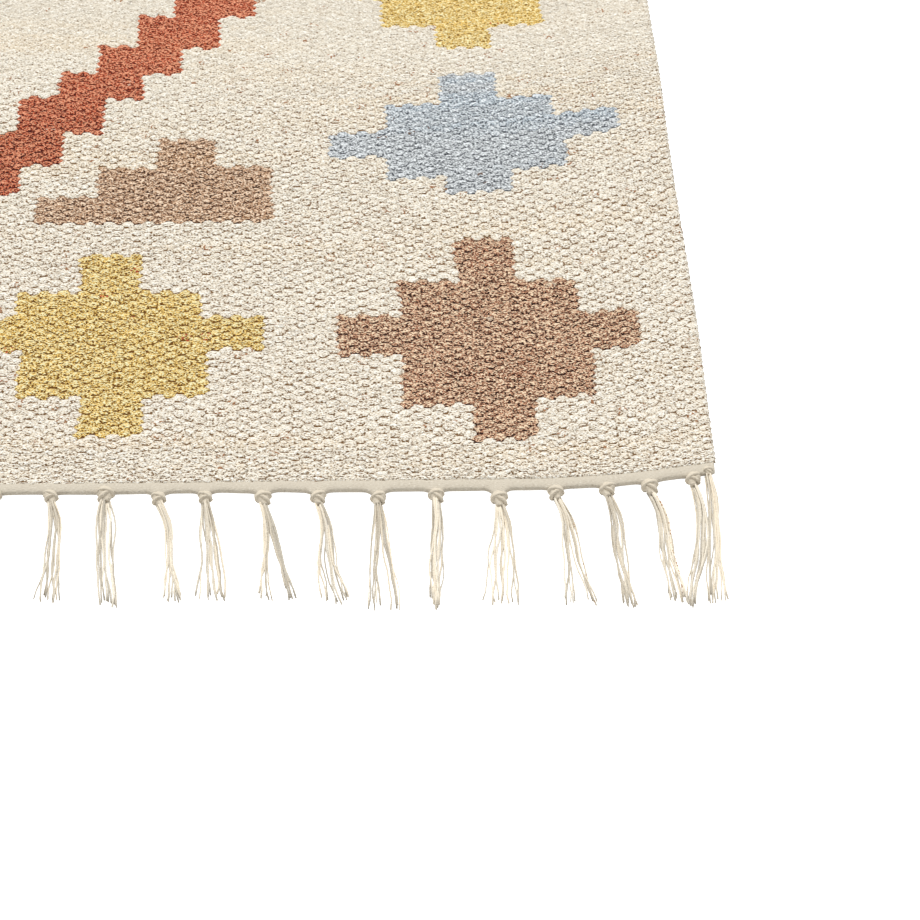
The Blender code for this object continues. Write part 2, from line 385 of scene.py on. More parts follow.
HALF_WARP, HALF_PICK, BESIDE, SECOND = upper_grid()
UPPER_XYZ, RISE = upper_points()
UPPER, UPPER_WARP, UPPER_PICK = upper_faces()
UPPER_COUNT = len(UPPER_XYZ)
print(len(UPPER), "triangles on the upper face, z from", round(1000 * float(UPPER_XYZ[:, 2].min()), 2), "to",
      round(1000 * float(UPPER_XYZ[:, 2].max()), 2), "mm")

# %% [markdown]
# ## The underside and the edges
# The underside is the same weave seen from below, so its lumps sit where the upper ones dive. Nobody sees
# it while the rug lies flat, so each lump there is a low pyramid of four triangles. At the selvages and at
# the ends a rim joins both faces: it bulges where a weft turns round the last warp.

# %% Underside and rim
UNDER_DIP_Z = 0.0013
UNDER_LUMP_Z = 0.0001
RIM_Z = 0.0021
RIM_BULGE = 0.0007
TURN_BULGE = 0.0006
END_BULGE = 0.0005


def under_points():
    """One point to a crossing, with a border of points on the rug's outline."""
    i, j = np.meshgrid(np.arange(-1, WARPS + 1), np.arange(-1, PICKS + 1))
    s = np.clip(i + 0.5, 0, WARPS) - WARPS / 2
    t = np.clip(j + 0.5, 0.0, PICKS)
    x, y = place(s, t)
    z = np.where((i + j) % 2 == 1, UNDER_LUMP_Z, UNDER_DIP_Z)
    border = (i < 0) | (i == WARPS) | (j < 0) | (j == PICKS)
    return x, y, np.where(border, UNDER_DIP_Z, z)


def under_faces(first):
    """Squares between four crossings, cut so that each triangle has one lump's top.

    first is the number of the underside's first point.
    """
    i, j = np.meshgrid(np.arange(-1, WARPS), np.arange(-1, PICKS))
    i, j = i.ravel(), j.ravel()
    wide = WARPS + 2
    a = first + (j + 1) * wide + i + 1
    b, c, d = a + 1, a + 1 + wide, a + wide
    dips = (i + j) % 2 == 0
    faces = [np.stack([a, c, b], 1)[dips], np.stack([a, d, c], 1)[dips],
             np.stack([a, d, b], 1)[~dips], np.stack([b, d, c], 1)[~dips]]
    warps = [i[dips] + 1, i[dips], i[~dips], i[~dips] + 1]
    picks = [j[dips], j[dips] + 1, j[~dips], j[~dips] + 1]
    return np.concatenate(faces), np.concatenate(warps), np.concatenate(picks)


def rim_faces(top, middle, ring, flip, crossing):
    """A strip from the upper grid's border, over the rim's middle, to the border of the underside.

    crossing gives the number of the crossing beside each square of the strip. It comes back for each face.
    """
    n = len(top) - 1
    step = np.arange(n)
    faces = [np.stack([middle[step], middle[step + 1], top[step + 1]], 1),
             np.stack([middle[step], top[step + 1], top[step]], 1)]
    owner = [step // 2, step // 2]
    m = np.arange(n // 2)
    faces += [np.stack([middle[2 * m], ring[m + 1], middle[2 * m + 1]], 1),
              np.stack([middle[2 * m + 1], ring[m + 1], middle[2 * m + 2]], 1)]
    owner += [m, m]
    g = np.arange(-1, n // 2)
    faces.append(np.stack([middle[2 * g + 2], ring[g + 1], ring[g + 2]], 1))
    owner.append(np.where((g + crossing) % 2 == 1, g, g + 1))
    faces = np.concatenate(faces)
    return (faces[:, ::-1] if flip else faces), np.concatenate(owner)


def weave_points():
    """All points of the cloth: upper grid, underside, then the rim's middle line round the four sides.

    The rim's middle bulges most where a lump meets the border. The upper border is pushed out in part too.
    """
    x, y, z = [values.reshape(ALONG, ACROSS).copy() for values in UPPER_XYZ[:ALONG * ACROSS].T]
    rows, columns = np.arange(ALONG), np.arange(ACROSS)
    parts = []
    for side, column, i in ((-1, 0, 0), (1, ACROSS - 1, WARPS - 1)):
        turn = np.where(rows % 2 == 0, 0.4, np.where((i + rows // 2) % 2 == 0, 1.0, 0.0))
        bulge = RIM_BULGE + TURN_BULGE * turn
        parts.append((x[:, column] + side * bulge, y[:, column], np.full(ALONG, RIM_Z)))
        x[:, column] += side * TURN_BULGE * (turn - 0.4)
    for end, row, j in ((-1, 0, 0), (1, ALONG - 1, PICKS - 1)):
        turn = np.where(columns % 2 == 0, 0.3, np.where((columns // 2 + j) % 2 == 0, 1.0, -0.2))
        turn = turn + 0.5 * RANDOM.uniform(-1, 1, ACROSS)
        bulge = RIM_BULGE + END_BULGE * turn
        line = (x[row], y[row] + end * bulge, np.full(ACROSS, RIM_Z))
        parts.append(tuple(values[1:-1] for values in line))
        y[row] += end * END_BULGE * turn
    under = under_points()
    points = [np.stack([x.ravel(), y.ravel(), z.ravel()], 1), UPPER_XYZ[ALONG * ACROSS:],
              np.stack([values.ravel() for values in under], 1)]
    points += [np.stack(line, 1) for line in parts]
    return np.concatenate(points)


GRID = np.arange(ACROSS * ALONG).reshape(ALONG, ACROSS)
UNDER = UPPER_COUNT + np.arange((WARPS + 2) * (PICKS + 2)).reshape(PICKS + 2, WARPS + 2)
LEFT_RIM = UNDER.max() + 1 + np.arange(ALONG)
RIGHT_RIM = LEFT_RIM + ALONG
FRONT_RIM = np.concatenate([LEFT_RIM[:1], RIGHT_RIM[-1] + 1 + np.arange(ACROSS - 2), RIGHT_RIM[:1]])
BACK_RIM = np.concatenate([LEFT_RIM[-1:], FRONT_RIM[-2] + 1 + np.arange(ACROSS - 2), RIGHT_RIM[-1:]])


def weave_faces():
    """All triangles of the cloth but the walls between panels, each with its lump's warp and pick."""
    faces, warps, picks = [UPPER], [UPPER_WARP], [UPPER_PICK]
    under = under_faces(UPPER_COUNT)
    for found, values in zip((faces, warps, picks), under):
        found.append(values)
    # Each border: its points on the upper face, the rim and the underside, which way its faces turn, the warp
    # or pick just past it, and whether it is a selvage
    borders = (
        (GRID[:, 0], LEFT_RIM, UNDER[:, 0], True, -1, True),
        (GRID[:, -1], RIGHT_RIM, UNDER[:, -1], False, WARPS, True),
        (GRID[0], FRONT_RIM, UNDER[0], False, -1, False),
        (GRID[-1], BACK_RIM, UNDER[-1], True, PICKS, False),
    )
    for top, middle, ring, flip, crossing, at_side in borders:
        made, owner = rim_faces(top, middle, ring, flip, crossing)
        fixed = np.full(len(made), crossing)
        faces.append(made)
        warps.append(fixed if at_side else owner)
        picks.append(owner if at_side else fixed)
    faces, warps, picks = np.concatenate(faces), np.concatenate(warps), np.concatenate(picks)
    return faces, np.clip(warps, 0, WARPS - 1), np.clip(picks, 0, PICKS - 1)


def wall_faces(pick):
    """The wall inside the cloth between two panels. It follows the creases above and below the given pick."""
    i = np.arange(WARPS)
    row = np.where((i + pick) % 2 == 1, 2 * pick + 1, 2 * pick - 1)
    creases = np.stack([GRID[row, 2 * i + 1], SECOND[row, 2 * i + 1], GRID[2 * pick, 2 * i + 2]], 1).ravel()
    upper = np.concatenate([[LEFT_RIM[2 * pick], GRID[2 * pick, 0]], creases, [RIGHT_RIM[2 * pick]]])
    n = np.arange(-1, WARPS + 1)
    low = UNDER[np.where((n + pick) % 2 == 0, pick + 1, pick), n + 1]
    lower = np.concatenate([[low[0], low[0]], np.repeat(low[1:-1], 3), [low[-1]]])
    a, b, c, d = upper[:-1], upper[1:], lower[1:], lower[:-1]
    faces = np.concatenate([np.stack([a, b, d], 1), np.stack([b, c, d], 1)])
    return faces[(faces[:, 0] != faces[:, 1]) & (faces[:, 1] != faces[:, 2]) & (faces[:, 0] != faces[:, 2])]


NEAR_GAIN = 1.5
NEAR_ELSEWHERE = 0.3


def sides(faces, picks):
    """Where each face is on its lump, and how rough the cloth is there.

    The first value goes from 0 behind the lump's middle to 1 at its front crease. The second is 1 near the
    rug's ends, and less towards its middle.
    """
    steps = np.full(len(POINTS), -1.0)
    steps[:UPPER_COUNT] = HALF_PICK / 2
    ahead = picks + 0.5 - steps[faces].mean(axis=1)
    on_top = (faces < UPPER_COUNT).all(axis=1)
    # near steers the painted shade, darkest at a lump's front crease, and the painted highlight behind its
    # middle
    near = np.where(on_top, np.clip(NEAR_GAIN * ahead, 0, 1), NEAR_ELSEWHERE)
    return np.stack([near, 1 - smoothness(picks), np.zeros(len(faces))], 1)


POINTS = weave_points()
FACES, FACE_WARP, FACE_PICK = weave_faces()
print(len(POINTS), "points and", len(FACES), "triangles in the cloth")

# %% [markdown]
# ## From arrays to meshes
# foreach_set hands a whole array to Blender at once, which is what makes half a million triangles quick. A
# surface attribute travels with the mesh: a value for each point, or for each face.

# %% Mesh helpers
def new_piece(name, points, triangles, materials, material_of_face=None):
    """A mesh object at the origin from points and triangles, smooth, with its materials."""
    mesh = bpy.data.meshes.new(name)
    mesh.vertices.add(len(points))
    mesh.vertices.foreach_set("co", np.ascontiguousarray(points, np.float32).ravel())
    mesh.loops.add(triangles.size)
    mesh.loops.foreach_set("vertex_index", np.ascontiguousarray(triangles, np.int32).ravel())
    mesh.polygons.add(len(triangles))
    mesh.polygons.foreach_set("loop_start", np.arange(0, triangles.size, 3, dtype=np.int32))
    for material in materials:
        mesh.materials.append(material)
    if material_of_face is not None:
        mesh.polygons.foreach_set("material_index", np.ascontiguousarray(material_of_face, np.int32))
    mesh.update(calc_edges=True)
    mesh.shade_smooth()
    piece = bpy.data.objects.new(name, mesh)
    bpy.context.scene.collection.objects.link(piece)
    return piece


def add_values(piece, name, domain, values):
    """A named attribute on points or faces: one number each, or three."""
    wide = values.ndim == 2
    layer = piece.data.attributes.new(name, "FLOAT_VECTOR" if wide else "FLOAT", domain)
    layer.data.foreach_set("vector" if wide else "value", np.ascontiguousarray(values, np.float32).ravel())


def loose_edges(triangles):
    """How many edges don't belong to exactly two triangles that run along them in opposite directions."""
    start, stop = triangles.ravel(), np.roll(triangles, -1, axis=1).ravel()
    size = int(triangles.max()) + 1
    forward = np.sort(start.astype(np.int64) * size + stop)
    backward = np.sort(stop.astype(np.int64) * size + start)
    return int((forward != backward).sum()) + int((np.diff(forward) == 0).sum())


# %% [markdown]
# ## Cotton
# One group of nodes serves every yarn. It reads three attributes of the mesh. The first says how high a
# point is on its lump. The second has the lump's tone, warmth and chance. The third says whether a face is
# on the front of its lump, and how rough the cloth is there. Cotton is matt, so its colour does the work,
# with painted light and shade in it: painted shade in the thin crease where lumps meet, most on their near
# side, a painted highlight on the rim behind it, and its own colour uneven from lump to lump, with fine
# fuzz and a few stray fibres.

# %% Cotton yarn nodes
def linear(red, green, blue):
    """An sRGB colour from 0 to 255 as the linear values that Blender works in."""
    share = np.array([red, green, blue]) / 255
    value = np.where(share <= 0.04045, share / 12.92, ((share + 0.055) / 1.055) ** 2.4)
    return (*[float(v) for v in value], 1.0)


def add_node(tree, kind, settings=(), values=()):
    """A node with some of its settings and input values set."""
    made = tree.nodes.new(kind)
    for name, value in dict(settings).items():
        setattr(made, name, value)
    for name, value in dict(values).items():
        made.inputs[name].default_value = value
    return made


def sums(tree, operation, first, second):
    """A Math node. Each input is a socket or a number."""
    made = add_node(tree, "ShaderNodeMath", {"operation": operation})
    for socket, value in zip(made.inputs, (first, second)):
        if isinstance(value, (int, float)):
            socket.default_value = value
        else:
            tree.links.new(value, socket)
    return made.outputs[0]


def plus(tree, first, second):
    """The first value and the second."""
    return sums(tree, "ADD", first, second)


def minus(tree, first, second):
    """The first value less the second."""
    return sums(tree, "SUBTRACT", first, second)


def times(tree, first, second):
    """The first value times the second."""
    return sums(tree, "MULTIPLY", first, second)


def mix(tree, share, first, second, blend="MIX"):
    """A Mix node for colours. The share is a socket or a number, and so is each colour."""
    made = add_node(tree, "ShaderNodeMix", {"data_type": "RGBA", "blend_type": blend})
    for index, value in ((0, share), (6, first), (7, second)):
        if hasattr(value, "is_output"):
            tree.links.new(value, made.inputs[index])
        else:
            made.inputs[index].default_value = value
    return made.outputs[2]


def ramp(tree, value, low, high):
    """A smooth step from 0 at low to 1 at high."""
    made = add_node(tree, "ShaderNodeMapRange", {"interpolation_type": "SMOOTHSTEP"},
                    {"From Min": low, "From Max": high})
    tree.links.new(value, made.inputs["Value"])
    return made.outputs["Result"]


def noise(tree, scale, detail, stretch=(1.0, 1.0, 1.0)):
    """Noise on Object coordinates, with so many waves to a metre, stretched by axis."""
    place_node = add_node(tree, "ShaderNodeTexCoord")
    mapping = add_node(tree, "ShaderNodeMapping", (), {"Scale": stretch})
    made = add_node(tree, "ShaderNodeTexNoise", (), {"Scale": scale, "Detail": detail, "Roughness": 0.6})
    tree.links.new(place_node.outputs["Object"], mapping.inputs["Vector"])
    tree.links.new(mapping.outputs["Vector"], made.inputs["Vector"])
    return made.outputs["Fac"]


def three_values(tree, name):
    """The three parts of a vector attribute of the mesh."""
    read = add_node(tree, "ShaderNodeAttribute", {"attribute_name": name})
    split = add_node(tree, "ShaderNodeSeparateXYZ")
    tree.links.new(read.outputs["Vector"], split.inputs[0])
    return split.outputs


COLOUR_INPUTS = ("Yarn", "Shade and dark fuzz", "Warm", "Highlight and pale fuzz", "Fibre")
AMOUNT_INPUTS = ("Fibre share", "Unevenness", "Fuzz", "Shade and highlight")

# Noise: waves to a metre
FUZZ_WAVES = 950.0
FUZZ_STRETCH = (0.85, 1.3, 1.0)
PATCH_WAVES = 240.0
SPECK_WAVES = 620.0

# Bands, from where a smooth step starts to where it is full
CREASE_SHADE_BAND = (0.02, 0.50)
PATCH_BAND = (0.30, 0.62)
RIM_HIGHLIGHT_BAND = (0.35, 0.60)
SHADE_BAND = (0.02, 0.95)
HIGHLIGHT_BAND = (0.05, 0.85)
SPECK_BAND = (0.60, 0.66)

# How strong each effect is: patches along the painted crease shade, that shade behind and in front, the
# painted highlight on the rim, and how much darker the yarn is where the cloth is smooth, alone and for each
# unit of painted crease shade
PATCH_GAIN = 1.5
SHADE_BEHIND, SHADE_IN_FRONT = 0.30, 0.85
RIM_HIGHLIGHT_GAIN = 0.20
SMOOTH_DARK, CREASE_DARK = 0.25, 0.24


def cotton_group():
    """The group: five colours and four amounts in, Colour and Height out."""
    tree = bpy.data.node_groups.new("cotton_yarn", "ShaderNodeTree")
    sockets = [(name, "INPUT", "NodeSocketColor") for name in COLOUR_INPUTS]
    sockets += [(name, "INPUT", "NodeSocketFloat") for name in AMOUNT_INPUTS]
    sockets += [("Colour", "OUTPUT", "NodeSocketColor"), ("Height", "OUTPUT", "NodeSocketFloat")]
    for name, way, kind in sockets:
        tree.interface.new_socket(name, in_out=way, socket_type=kind)
    given = add_node(tree, "NodeGroupInput").outputs
    result = add_node(tree, "NodeGroupOutput")
    tone, warm, chance = three_values(tree, "lump")
    near, rough = three_values(tree, "side")[:2]
    rise = add_node(tree, "ShaderNodeAttribute", {"attribute_name": "rise"}).outputs["Fac"]
    fuzz = noise(tree, FUZZ_WAVES, 1.0, FUZZ_STRETCH)
    patches = noise(tree, PATCH_WAVES, 1.0)
    specks = noise(tree, SPECK_WAVES, 0.0)

    # The yarn's own colour: warm and cool picks, and tone from lump to lump
    colour = mix(tree, warm, given["Yarn"], given["Warm"])
    bright = plus(tree, 1.0, times(tree, tone, given["Unevenness"]))
    # Where the cloth is smooth it has less painted crease shade, so there the yarn itself is a little darker
    less = plus(tree, SMOOTH_DARK, times(tree, given["Shade and highlight"], CREASE_DARK))
    bright = minus(tree, bright, times(tree, minus(tree, 1.0, rough), less))
    grey = add_node(tree, "ShaderNodeCombineXYZ")
    for socket in grey.inputs:
        tree.links.new(bright, socket)
    colour = mix(tree, 1.0, colour, grey.outputs[0], "MULTIPLY")

    # One field from dark to pale: painted shade low in the thin crease, a painted highlight high on the rim
    # behind it, broken up by fibres
    fibres = times(tree, minus(tree, fuzz, 0.5), given["Fuzz"])
    # The crease term is painted shade: darker where the lump dips, most on its near side, in patches
    crease = minus(tree, 1.0, ramp(tree, rise, *CREASE_SHADE_BAND))
    crease = times(tree, crease, times(tree, ramp(tree, patches, *PATCH_BAND), PATCH_GAIN))
    crease = times(tree, crease, plus(tree, SHADE_BEHIND, times(tree, near, SHADE_IN_FRONT)))
    crease = times(tree, crease, given["Shade and highlight"])
    # The rim term is a painted highlight on the side of each lump behind its middle, the side that faces the
    # lamp
    rim = times(tree, ramp(tree, rise, *RIM_HIGHLIGHT_BAND), minus(tree, 1.0, near))
    rim = times(tree, rim, times(tree, given["Shade and highlight"], RIM_HIGHLIGHT_GAIN))
    lie = times(tree, plus(tree, minus(tree, fibres, crease), rim), rough)
    colour = mix(tree, ramp(tree, times(tree, lie, -1.0), *SHADE_BAND), colour, given["Shade and dark fuzz"])
    colour = mix(tree, ramp(tree, lie, *HIGHLIGHT_BAND), colour, given["Highlight and pale fuzz"])

    # Stray fibres and bits of seed: small spots on a few lumps
    stray = sums(tree, "LESS_THAN", chance, given["Fibre share"])
    stray = times(tree, stray, ramp(tree, specks, *SPECK_BAND))
    colour = mix(tree, stray, colour, given["Fibre"])
    tree.links.new(colour, result.inputs["Colour"])
    tree.links.new(times(tree, fibres, rough), result.inputs["Height"])
    return tree


COTTON = cotton_group()


def cotton_material(name, look, bump):
    """A matt cotton with a little sheen. The group gives its colour, and its fuzz gives a fine bump.

    look has the colours and then the amounts, in the order of the group's inputs.
    """
    material = bpy.data.materials.new(name)
    material.use_nodes = True
    tree = material.node_tree
    shader = tree.nodes["Principled BSDF"]
    shader.inputs["Roughness"].default_value = 0.92
    shader.inputs["Specular IOR Level"].default_value = 0.1
    shader.inputs["Sheen Weight"].default_value = 0.05
    shader.inputs["Sheen Roughness"].default_value = 0.6
    values = {socket: linear(*colour) for socket, colour in zip(COLOUR_INPUTS, look)}
    values.update(zip(AMOUNT_INPUTS, look[len(COLOUR_INPUTS):]))
    group = add_node(tree, "ShaderNodeGroup", {"node_tree": COTTON}, values)
    relief = add_node(tree, "ShaderNodeBump", (), {"Strength": bump, "Distance": 0.0005})
    tree.links.new(group.outputs["Colour"], shader.inputs["Base Color"])
    tree.links.new(group.outputs["Height"], relief.inputs["Height"])
    tree.links.new(relief.outputs["Normal"], shader.inputs["Normal"])
    return material


# %% [markdown]
# ## The yarns
# Each yarn is one material with its own values, in the order of the chart's list. The wefts are soft and
# dull. The natural cotton holds flecks of brown seed coat, and the dyed ones show paler and darker picks.

# %% Yarn materials
# Colours: yarn, painted shade in a crease and dark fuzz, warm picks, painted highlight and pale fuzz, stray
# fibre. Amounts: fibre share, unevenness, fuzz, strength of the painted crease shade and rim highlight
YARN_LOOKS = {
    "ecru": ((236, 226, 207), (120, 88, 52), (237, 220, 192), (255, 252, 243), (164, 120, 86),
             0.040, 0.05, 4.8, 0.95),
    "terracotta": ((222, 94, 53), (78, 14, 2), (208, 102, 60), (248, 172, 134), (226, 188, 164),
                   0.010, 0.08, 12.0, 2.40),
    "brown": ((199, 143, 110), (50, 22, 8), (192, 114, 78), (255, 230, 196), (210, 190, 168),
              0.010, 0.10, 8.4, 1.50),
    "taupe": ((196, 153, 118), (62, 34, 18), (196, 149, 104), (255, 230, 202), (120, 96, 80),
              0.012, 0.08, 7.2, 1.30),
    "mustard": ((246, 206, 114), (110, 68, 8), (252, 202, 80), (255, 246, 196), (190, 84, 52),
                0.012, 0.10, 7.6, 1.40),
    "blue": ((192, 196, 198), (74, 78, 84), (177, 193, 205), (246, 250, 252), (112, 92, 80),
             0.020, 0.07, 5.8, 1.05),
}
WARP_LOOK = ((216, 208, 192), (150, 134, 114), (208, 194, 170), (236, 230, 216), (170, 130, 96),
             0.01, 0.32, 1.6, 0.0)
WEFT_BUMP = 0.8
WARP_BUMP = 0.4
YARN_MATERIALS = [cotton_material("weft_" + name, YARN_LOOKS[name], WEFT_BUMP) for name in YARNS]
WARP_COTTON = cotton_material("warp_cotton", WARP_LOOK, WARP_BUMP)
print(len(YARN_MATERIALS), "weft yarns and one warp yarn")

# %% [markdown]
# ## The cloth in four panels
# The real cloth is one piece. Here it is cut across into four panels along the creases between two picks,
# only to keep each mesh to a workable size. The cuts follow the creases, so no shading shows them.

# %% Cloth panels
PANEL_PICKS = (0, 98, 197, 295, PICKS)
RISE_BELOW = 0.6

# Where a face goes in the UV map: the start and size of each part, across, and along for the upper face and
# the rest
MAP_ACROSS = (0.004, 0.992)
MAP_UPPER = (0.004, 0.70)
MAP_REST = (0.716, 0.28)


def panel(number):
    """One closed panel: its own triangles and a wall at each cut, with only the points that it uses."""
    low, high = PANEL_PICKS[number], PANEL_PICKS[number + 1]
    mine = (FACE_PICK >= low) & (FACE_PICK < high)
    faces, warps, picks = FACES[mine], FACE_WARP[mine], FACE_PICK[mine]
    for cut, turned in ((low, True), (high, False)):
        if 0 < cut < PICKS:
            wall = wall_faces(cut)
            faces = np.concatenate([faces, wall[:, ::-1] if turned else wall])
            warps = np.concatenate([warps, np.full(len(wall), 0)])
            picks = np.concatenate([picks, np.full(len(wall), min(cut, high - 1))])
    used, faces = np.unique(faces, return_inverse=True)
    faces = faces.reshape(-1, 3)
    yarns = CHART[picks + 1, warps + 1]
    piece = new_piece(f"woven_cloth_{number + 1}", POINTS[used], faces, YARN_MATERIALS, yarns)
    lump = np.stack([table[picks + 1, warps + 1] for table in (TONE, WARM, CHANCE)], 1)
    add_values(piece, "lump", "FACE", lump)
    add_values(piece, "side", "FACE", sides(used[faces], picks))
    rise = np.full(len(POINTS), RISE_BELOW)
    rise[:UPPER_COUNT] = RISE
    add_values(piece, "rise", "POINT", rise[used])
    crease_edges(piece, used)
    lay_flat(piece, used, faces)
    print(piece.name, len(faces), "triangles,", loose_edges(faces), "loose edges")
    return piece


def crease_edges(piece, used):
    """Marks the edges that run along the creases between lumps as sharp."""
    dives = (HALF_WARP // 2 + HALF_PICK // 2) % 2 == 1
    low = np.zeros(len(POINTS), bool)
    low[:UPPER_COUNT] = (HALF_WARP % 2 == HALF_PICK % 2) & ((HALF_WARP % 2 == 0) | dives)
    ends = np.empty(2 * len(piece.data.edges), np.int32)
    piece.data.edges.foreach_get("vertices", ends)
    sharp = low[used[ends.reshape(-1, 2)]].all(axis=1)
    layer = piece.data.attributes.new("sharp_edge", "BOOLEAN", "EDGE")
    layer.data.foreach_set("value", sharp)


def lay_flat(piece, used, faces):
    """The UV map: the plan of the panel. The upper face takes the lower part of the map, the rest its top."""
    points = POINTS[used]
    low, high = points.min(axis=0), points.max(axis=0)
    across = (points[:, 0] - low[0]) / (high[0] - low[0])
    along = (points[:, 1] - low[1]) / (high[1] - low[1])
    is_upper = used[faces].max(axis=1) < UPPER_COUNT
    u = MAP_ACROSS[0] + MAP_ACROSS[1] * across[faces]
    v = np.where(is_upper[:, None], MAP_UPPER[0] + MAP_UPPER[1] * along[faces],
                 MAP_REST[0] + MAP_REST[1] * along[faces])
    layer = piece.data.uv_layers.new(name="OFBake")
    layer.uv.foreach_set("vector", np.stack([u, v], -1).astype(np.float32).ravel())


CLOTH = [panel(number) for number in range(len(PANEL_PICKS) - 1)]

# %% [markdown]
# ## Tubes
# Every strand and every turn of a knot is a tube: a section carried along a path. The paths of all strands
# are worked out together, as one array of strands by stations by coordinates.

# %% Tubes along paths
def unit(vectors):
    """Vectors divided by their own length."""
    return vectors / np.maximum(np.linalg.norm(vectors, axis=-1, keepdims=True), 1e-9)


def tube_faces(stations, sides):
    """Triangles of a closed tube: the strips round it, then a fan at each end round a middle point."""
    side = np.arange(sides)
    after = (side + 1) % sides
    first = np.arange(stations - 1)[:, None] * sides
    a, b = (first + side).ravel(), (first + after).ravel()
    last, middle = (stations - 1) * sides, stations * sides
    return np.concatenate([
        np.stack([a, b, b + sides], 1),
        np.stack([a, b + sides, a + sides], 1),
        np.stack([np.full(sides, middle), after, side], 1),
        np.stack([np.full(sides, middle + 1), last + side, last + after], 1),
    ])


def tubes(paths, radii, sides, upright, ridges=0.0, lobes=3, twist=0.0):
    """Closed tubes. At each station the section's points lie on a circle across the path, with raised lobes.

    paths is strands by stations by 3, radii is strands by stations, and upright is the direction that the
    section's first axis avoids. Each end is closed by a fan round a middle point.
    """
    count, stations = radii.shape
    ahead = unit(np.gradient(paths, axis=1))
    side = unit(np.cross(ahead, upright))
    top = np.cross(side, ahead)
    angle = 2 * math.pi * np.arange(sides) / sides
    station = np.arange(stations)[:, None] / max(1, stations - 1)
    shape = 1 + ridges * np.cos(lobes * angle[None, :] + twist * station)
    reach = radii[:, :, None, None] * shape[None, :, :, None]
    ring = paths[:, :, None, :] + reach * (np.cos(angle)[:, None] * side[:, :, None, :]
                                          + np.sin(angle)[:, None] * top[:, :, None, :])
    each = stations * sides + 2
    points = np.concatenate([ring.reshape(count, -1, 3), paths[:, :1], paths[:, -1:]], axis=1)
    faces = tube_faces(stations, sides)[:, ::-1]
    faces = (faces[None] + (np.arange(count) * each)[:, None, None]).reshape(-1, 3)
    return points.reshape(-1, 3), faces


def joined(parts):
    """Several (points, triangles) as one pair."""
    first = np.cumsum([0] + [len(points) for points, faces in parts[:-1]])
    points = np.concatenate([part[0] for part in parts])
    faces = np.concatenate([part[1] + start for part, start in zip(parts, first)])
    return points, faces


# %% [markdown]
# ## Where the tassels are
# About five warps go into each tassel, so there are 32 at an end. The table gives those from the middle of
# the front end to its right corner. All but the first two were measured in the picture. The knots of those
# two are past its edge, so they are guessed. The other half has the same places, with the shapes in another
# order.

# %% Tassel table
# In millimetres: place across the rug, and drop of the knot below the weave. Then where the tassel's left and
# right sides lie beside the knot's middle, at three distances below it: 16, 45 and the tips. Then how far the
# tips reach. Last comes the empty share in the middle, where the tassel parts
HALF_TASSELS = (
    (13.5, 10.5, -2.5, 4.5, -2.0, 7.0, -3.0, 9.0, 80.0, 0.0),
    (41.5, 9.5, -3.5, 3.5, -5.0, 3.5, -7.0, 4.0, 79.0, 0.0),
    (69.4, 10.4, -0.3, 7.0, -0.4, 6.9, -2.8, 8.4, 78.0, 0.0),
    (95.7, 9.0, -4.7, 6.0, -2.7, 6.7, -0.5, 8.8, 84.0, 0.0),
    (121.5, 13.0, 3.5, 7.4, 5.8, 8.2, 4.8, 12.0, 77.0, 0.3),
    (144.0, 12.4, -2.6, 6.0, -1.5, 9.4, -2.1, 12.9, 78.0, 0.0),
    (172.1, 13.3, 1.0, 6.3, 0.2, 10.7, -1.0, 16.3, 76.0, 0.45),
    (198.8, 13.3, 0.4, 7.6, -1.3, 9.0, 1.6, 15.6, 79.0, 0.2),
    (227.9, 14.2, -2.6, 4.3, -4.7, 6.2, -5.9, 9.6, 83.0, 0.4),
    (256.2, 12.7, -2.9, 3.1, -5.5, 2.2, -6.2, 0.8, 85.0, 0.0),
    (286.9, 16.0, -3.2, 5.7, -7.8, 5.8, -10.2, 5.5, 78.0, 0.0),
    (314.8, 11.6, 2.3, 7.6, 1.7, 9.2, 0.0, 14.7, 85.0, 0.4),
    (339.9, 11.5, 0.0, 6.2, -0.3, 4.8, 1.1, 6.4, 88.0, 0.0),
    (361.1, 12.6, 2.2, 6.8, 1.0, 7.7, 3.0, 10.5, 86.0, 0.0),
    (382.8, 10.8, -0.3, 4.9, -3.6, 3.6, -11.6, -7.5, 96.0, 0.3),
    (390.9, 6.0, -1.5, 3.2, -4.3, 1.6, -10.9, -0.6, 100.0, 0.0),
)
PLACE, DROP, FIRST_SIDE, REACH, PARTING = 0, 1, 2, 8, 9
SIDE_COLUMNS = (2, 4, 6)
MILLIMETRE = 0.001
AT_CORNER = 0.375
FAR_LEAN = 0.011
FAR_SHARE = 0.7
ORDER_STEP, ORDER_START = 5, 3


def tassel_rows(end):
    """Tassels across an end as rows like the table's, in metres. The outermost ones lean in at both corners.

    Away from the corners, the half that the picture doesn't show takes the shapes in another order, with its
    far leans made smaller.
    """
    half = np.array(HALF_TASSELS)
    half[:, :PARTING] *= MILLIMETRE
    order = (ORDER_STEP * np.arange(len(half)) + ORDER_START) % len(half)
    corner = half[:, PLACE] > AT_CORNER
    other = np.column_stack([-half[:, PLACE], half[:, DROP], half[order][:, FIRST_SIDE:]])
    other[corner] = mirrored(half[corner])
    leans = other[:, FIRST_SIDE:REACH]
    leans[(np.abs(leans) >= FAR_LEAN) & ~corner[:, None]] *= FAR_SHARE
    rows = np.concatenate([half, other])
    return rows[np.argsort(rows[:, PLACE])] if end < 0 else mirrored(rows)[np.argsort(-rows[:, PLACE])]


def mirrored(rows):
    """The same tassels on the other side: places and leans change sign, and left and right swap."""
    turned = rows.copy()
    turned[:, PLACE] *= -1
    for left in SIDE_COLUMNS:
        turned[:, left] = -rows[:, left + 1]
        turned[:, left + 1] = -rows[:, left]
    return turned


